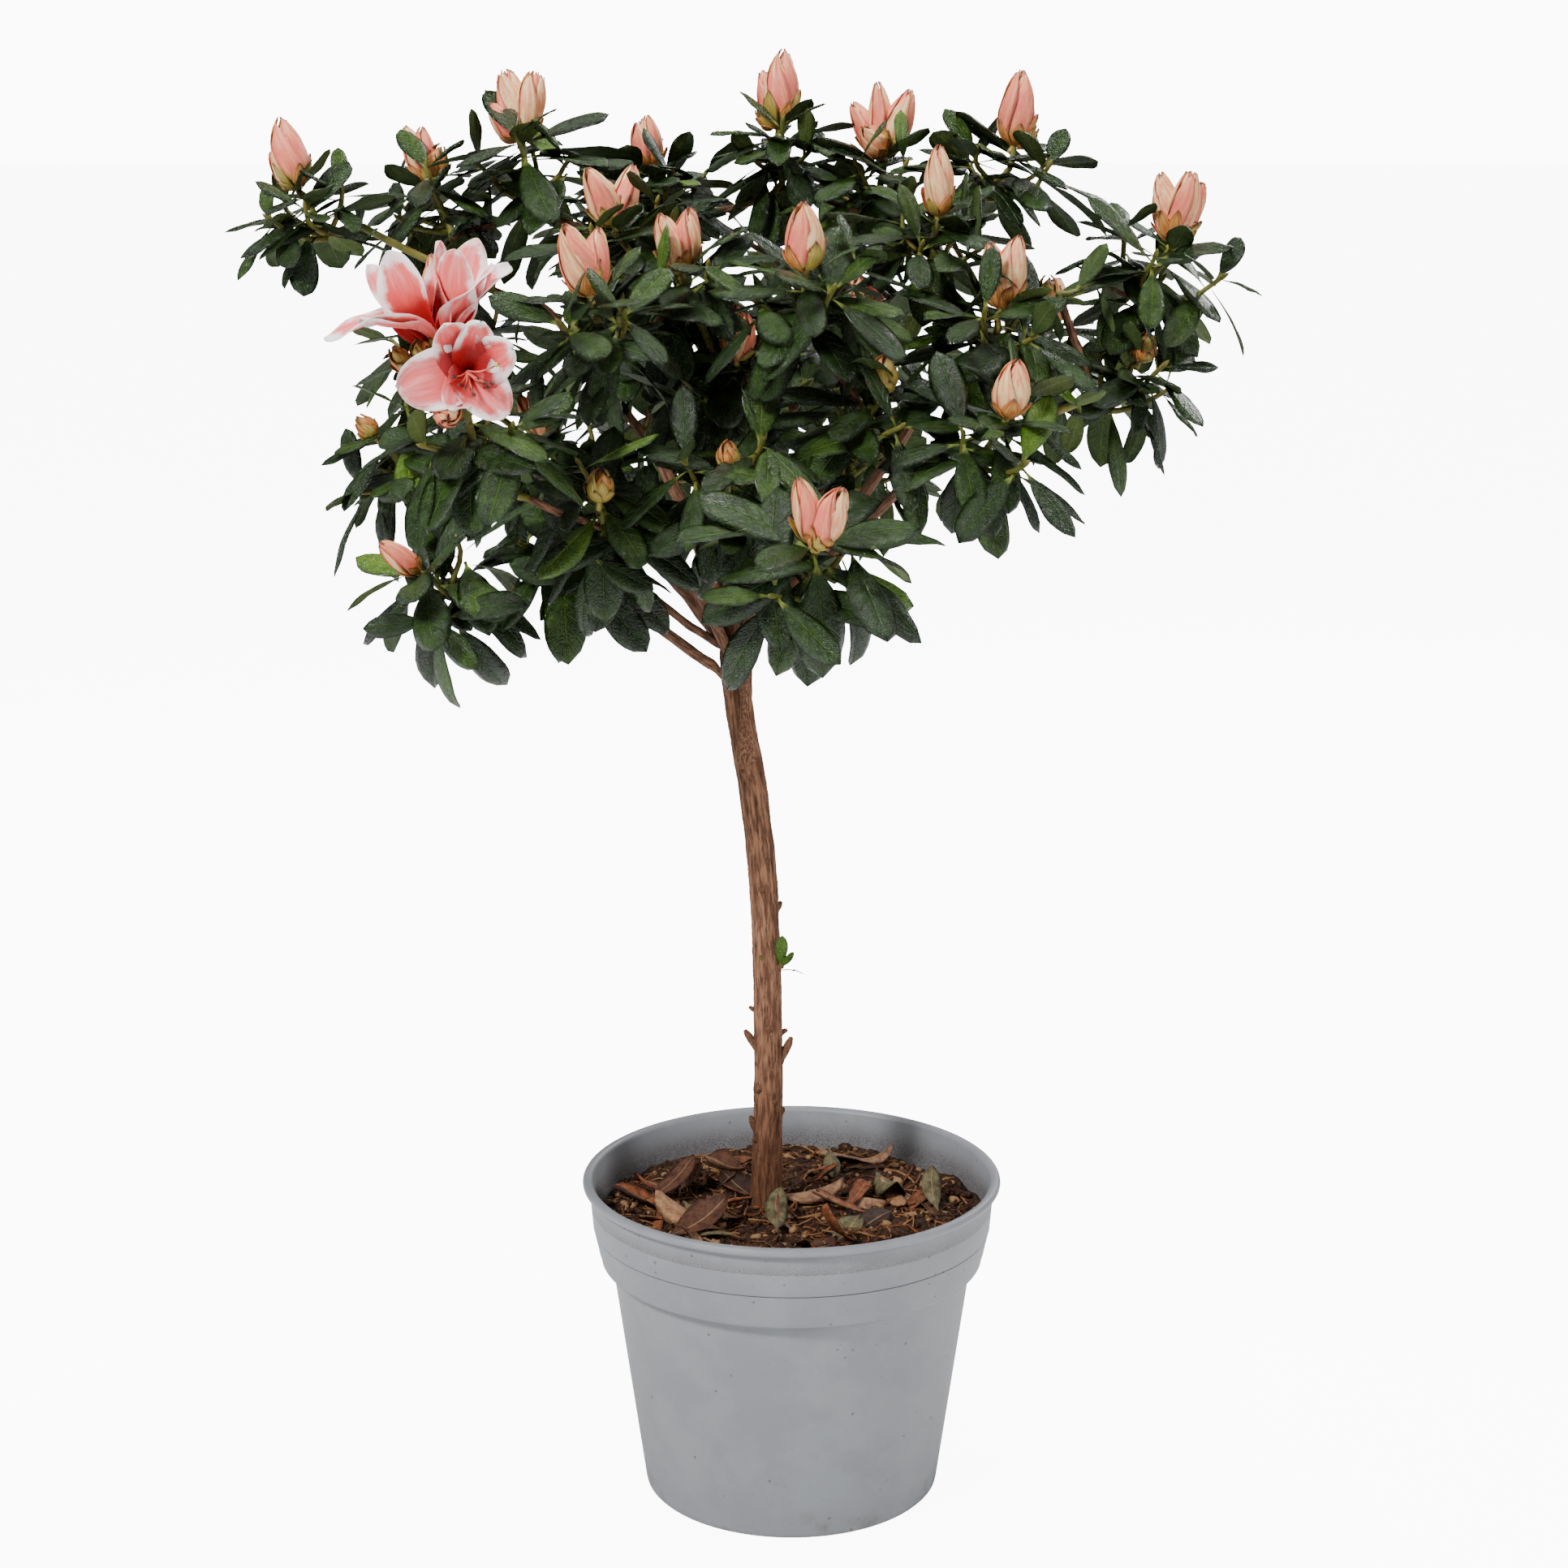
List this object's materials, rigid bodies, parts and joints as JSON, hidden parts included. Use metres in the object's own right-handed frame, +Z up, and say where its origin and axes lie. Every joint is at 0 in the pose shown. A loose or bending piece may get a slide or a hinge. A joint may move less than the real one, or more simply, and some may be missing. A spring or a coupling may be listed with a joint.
{
  "type": "azalea standard in a nursery pot",
  "caption": "dwarf evergreen azalea grown as a standard: a bare stem with a wide, flat-topped crown of leaves, buds and open flowers, in a round nursery pot that stands on its flat underside",
  "frame": {"origin": "the middle of the pot's flat underside, on the surface that it stands on", "axes": "+Z points up along the stem, -Y is the front, where the open flowers are, and +X is the right hand side seen from the front"},
  "size_m": [0.3456, 0.3146, 0.5039],
  "materials": {
    "pot_plastic": "satin",
    "compost": "matte",
    "bark": "matte",
    "green_wood": "matte",
    "foliage": "satin",
    "blossom": "satin"
  },
  "bodies": {
    "root": {"bough_back": "bark", "bough_back_left": "bark", "bough_back_right": "bark", "bough_centre": "bark", "bough_far_right": "bark", "bough_front": "bark", "bough_front_left": "bark", "bough_front_right": "bark", "bough_inner_left": "bark", "bough_left": "bark", "bough_low_left": "bark", "bough_right": "bark", "bough_upper_left": "bark", "foliage_back_1": "foliage", "foliage_back_2": "foliage", "foliage_back_3": "foliage", "foliage_back_4": "foliage", "foliage_back_high_1": "foliage", "foliage_back_high_2": "foliage", "foliage_back_low_1": "foliage", "foliage_back_low_2": "foliage", "foliage_back_low_3": "foliage", "foliage_bloom": "blossom", "foliage_core_1": "foliage", "foliage_core_2": "foliage", "foliage_core_3": "foliage", "foliage_front_bottom": "foliage", "foliage_front_high": "foliage", "foliage_front_inner": "foliage", "foliage_front_left": "foliage", "foliage_front_low": "foliage", "foliage_front_notch": "foliage", "foliage_front_right": "foliage", "foliage_front_side": "foliage", "foliage_high_left": "foliage", "foliage_high_middle": "foliage", "foliage_high_right": "foliage", "foliage_inner_left": "foliage", "foliage_low_left": "foliage", "foliage_low_right": "foliage", "foliage_right": "foliage", "foliage_side_left": "foliage", "foliage_tip_left": "foliage", "foliage_tip_right": "foliage", "foliage_top": "foliage", "foliage_top_back": "foliage", "foliage_top_left": "foliage", "foliage_top_middle": "foliage", "foliage_top_right": "foliage", "pot": "pot_plastic", "soil": "compost", "stem": "bark", "twig_low_right": "green_wood", "twig_tip_left": "green_wood", "twig_tip_right": "green_wood"}
  },
  "joints": []
}
